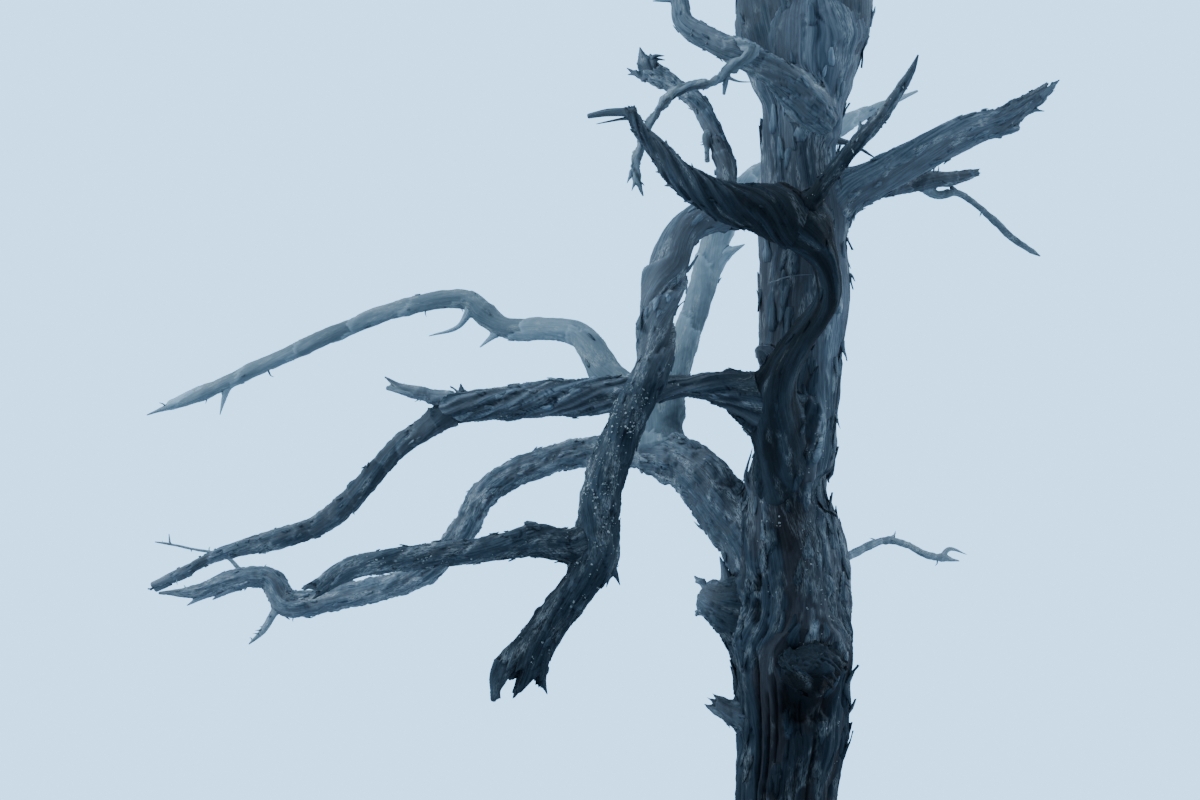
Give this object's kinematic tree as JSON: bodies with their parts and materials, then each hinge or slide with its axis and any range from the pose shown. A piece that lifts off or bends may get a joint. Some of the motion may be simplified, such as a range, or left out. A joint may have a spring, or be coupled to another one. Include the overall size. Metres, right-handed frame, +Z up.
{
  "type": "dead tree",
  "caption": "Large standing dead tree, bare, with a flared foot, a forked top and twisted, bent and broken boughs.",
  "frame": {"origin": "middle of the flat cut under the trunk, at ground level", "axes": "+Z up the trunk, +X to the right in the picture, -Y towards its camera"},
  "size_m": [7.8943, 5.908, 13.6716],
  "materials": {
    "bark": "dark, fissured, flaking bark",
    "weathered_bark": "weathered bark worn to grey wood",
    "bare_wood": "silver-grey bare wood",
    "twigs": "bare grey twigs"
  },
  "bodies": {
    "root": {"trunk": "bark", "front_stem": "bark", "twisted_bough": "bark", "twisted_bough_tip": "bark", "upright_bough": "bark", "right_bough": "bark", "right_low_bough": "bark", "right_low_twig": "twigs", "crossing_bough": "weathered_bark", "crossing_bough_tip": "weathered_bark", "crossing_bough_twig": "twigs", "bent_bough_arch": "bark", "bent_bough_middle": "bark", "bent_bough_lower_arm": "bark", "bent_bough_left_arm": "bark", "short_bough": "bark", "short_bough_twig": "twigs", "left_bough_root": "bark", "left_bough": "bark", "left_bough_lower_arm": "bark", "left_bough_tip": "weathered_bark", "low_bough_root": "bark", "low_bough_middle": "bark", "low_bough_outer": "bark", "low_bough_tip": "bark", "low_bough_hanging_twig": "twigs", "low_bough_fine_twig": "twigs", "far_bough_lower": "bare_wood", "far_bough_upper": "bare_wood", "far_bough_tip": "bare_wood", "pale_bough_root": "bare_wood", "pale_bough": "bare_wood", "pale_bough_tip": "bare_wood", "right_twig": "twigs", "left_stub": "bark", "lower_left_stub": "bark", "front_stub": "bark", "back_bough": "bark", "back_bough_tip": "bark", "back_bough_fork": "weathered_bark", "high_back_bough": "bark", "high_back_bough_tip": "bark", "high_back_fork": "weathered_bark", "left_leader": "bark", "left_leader_top": "bark", "right_leader": "bark", "right_leader_top": "bark", "crown_left_bough": "bark", "crown_left_bough_tip": "bark", "crown_front_bough": "bark", "crown_back_bough": "weathered_bark", "crown_right_bough": "bark", "crown_right_bough_tip": "bark", "crown_right_front_bough": "weathered_bark"}
  },
  "joints": []
}
